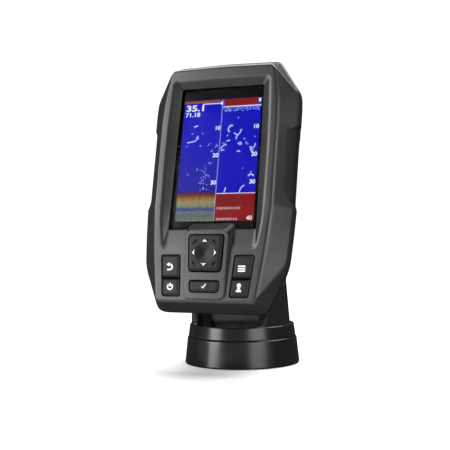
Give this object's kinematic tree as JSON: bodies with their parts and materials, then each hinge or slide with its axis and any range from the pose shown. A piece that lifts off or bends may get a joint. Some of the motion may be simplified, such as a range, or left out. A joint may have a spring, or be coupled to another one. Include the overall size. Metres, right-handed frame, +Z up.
{
  "type": "fish finder",
  "caption": "Compact sonar display head with a keypad, in a tilting quick-release cradle on a round swivel base.",
  "frame": {"origin": "centre of the round base's underside, on the swivel axis", "axes": "+Z up, the screen faces -Y, +X to the right of someone looking at the screen"},
  "size_m": [0.0926, 0.0926, 0.18],
  "materials": {
    "bezel_plastic": "satin fine texture",
    "housing_plastic": "fine texture",
    "mount_plastic": "satin",
    "key_plastic": "satin silicone",
    "seal_rubber": "matte",
    "window_glass": "clear, black printed border",
    "display": "lit picture",
    "steel": "plain",
    "brass": "bright",
    "circuit_board": "solder mask",
    "polyimide": "film",
    "ceramic": "plain",
    "nylon": "moulded"
  },
  "bodies": {
    "base": {"swivel_base": "mount_plastic", "base_plate": "seal_rubber", "swivel_friction_ring": "nylon", "centre_washer": "steel", "centre_screw": "steel"},
    "yoke": {"yoke": "mount_plastic", "tilt_bolt": "steel", "knob_washer": "steel"},
    "tilt_knob": {"tilt_knob": "mount_plastic", "knob_nut": "brass"},
    "cradle": {"cradle": "mount_plastic", "latch_pin": "steel", "latch_spring": "steel", "friction_washer_left": "nylon", "friction_washer_right": "nylon"},
    "release_latch": {"release_latch": "mount_plastic"},
    "head": {"front_bezel": "bezel_plastic", "rear_housing": "housing_plastic", "housing_seal": "seal_rubber", "screen_glass": "window_glass", "glass_gasket": "seal_rubber", "lcd_panel": "display", "backlight_tray": "steel", "lcd_ribbon": "polyimide", "keypad_mat": "seal_rubber", "dome_sheet": "steel", "key_board": "circuit_board", "main_board": "circuit_board", "shield_can": "steel", "sonar_transformer": "polyimide", "gps_antenna": "ceramic", "beeper": "nylon", "socket_body": "nylon", "socket_nut": "nylon", "socket_seal": "seal_rubber", "socket_insert": "seal_rubber", "contact_pin_1": "brass", "contact_pin_2": "brass", "contact_pin_3": "brass", "contact_pin_4": "brass", "vent_membrane": "seal_rubber", "housing_screw_upper_left": "steel", "housing_screw_upper_right": "steel", "housing_screw_middle_left": "steel", "housing_screw_middle_right": "steel", "housing_screw_lower_left": "steel", "housing_screw_lower_right": "steel", "board_screw_upper_left": "steel", "board_screw_upper_right": "steel", "board_screw_lower_left": "steel", "board_screw_lower_right": "steel"},
    "key_back": {"key_back": "key_plastic"},
    "key_power": {"key_power": "key_plastic"},
    "key_menu": {"key_menu": "key_plastic"},
    "key_mark": {"key_mark": "key_plastic"},
    "key_select": {"key_select": "key_plastic"},
    "dpad_web": {"dpad_web": "seal_rubber"},
    "dpad_cap": {"dpad_cap": "key_plastic"}
  },
  "joints": [
    {"name": "base_swivel", "type": "hinge", "parent": "base", "child": "yoke", "pos_m": [0, 0, 0.0166], "axis": [0, 0, 1], "continuous": true},
    {"name": "knob_turn", "type": "hinge", "parent": "yoke", "child": "tilt_knob", "pos_m": [-0.032, 0, 0.052], "axis": [1, 0, 0], "continuous": true},
    {"name": "head_tilt", "type": "hinge", "parent": "yoke", "child": "cradle", "pos_m": [0, 0, 0.052], "axis": [1, 0, 0], "range_deg": [-30, 8]},
    {"name": "latch_press", "type": "hinge", "parent": "cradle", "child": "release_latch", "pos_m": [0, -0.0007, 0.07975], "axis": [1, 0, 0], "range_deg": [0, 3], "stiffness_Nm_per_rad": 0.8, "deforming": ["latch_spring"]},
    {"name": "head_lift", "type": "slide", "parent": "cradle", "child": "head", "axis": [0, 0.225, 0.9744], "range_m": [0, 0.05]},
    {"name": "key_back_press", "type": "slide", "parent": "head", "child": "key_back", "axis": [0, 0.9744, -0.225], "range_m": [0, 0.0006], "stiffness_N_per_m": 400},
    {"name": "key_power_press", "type": "slide", "parent": "head", "child": "key_power", "axis": [0, 0.9744, -0.225], "range_m": [0, 0.0006], "stiffness_N_per_m": 400},
    {"name": "key_menu_press", "type": "slide", "parent": "head", "child": "key_menu", "axis": [0, 0.9744, -0.225], "range_m": [0, 0.0006], "stiffness_N_per_m": 400},
    {"name": "key_mark_press", "type": "slide", "parent": "head", "child": "key_mark", "axis": [0, 0.9744, -0.225], "range_m": [0, 0.0006], "stiffness_N_per_m": 400},
    {"name": "key_select_press", "type": "slide", "parent": "head", "child": "key_select", "axis": [0, 0.9744, -0.225], "range_m": [0, 0.0006], "stiffness_N_per_m": 400},
    {"name": "pad_up_down", "type": "hinge", "parent": "head", "child": "dpad_web", "pos_m": [0, -0.04626, 0.06687], "axis": [1, 0, 0], "range_deg": [-2.5, 2.5], "stiffness_Nm_per_rad": 0.25},
    {"name": "pad_left_right", "type": "hinge", "parent": "dpad_web", "child": "dpad_cap", "pos_m": [0, -0.04626, 0.06687], "axis": [0, 0.225, 0.9744], "range_deg": [-2.5, 2.5], "stiffness_Nm_per_rad": 0.25}
  ]
}
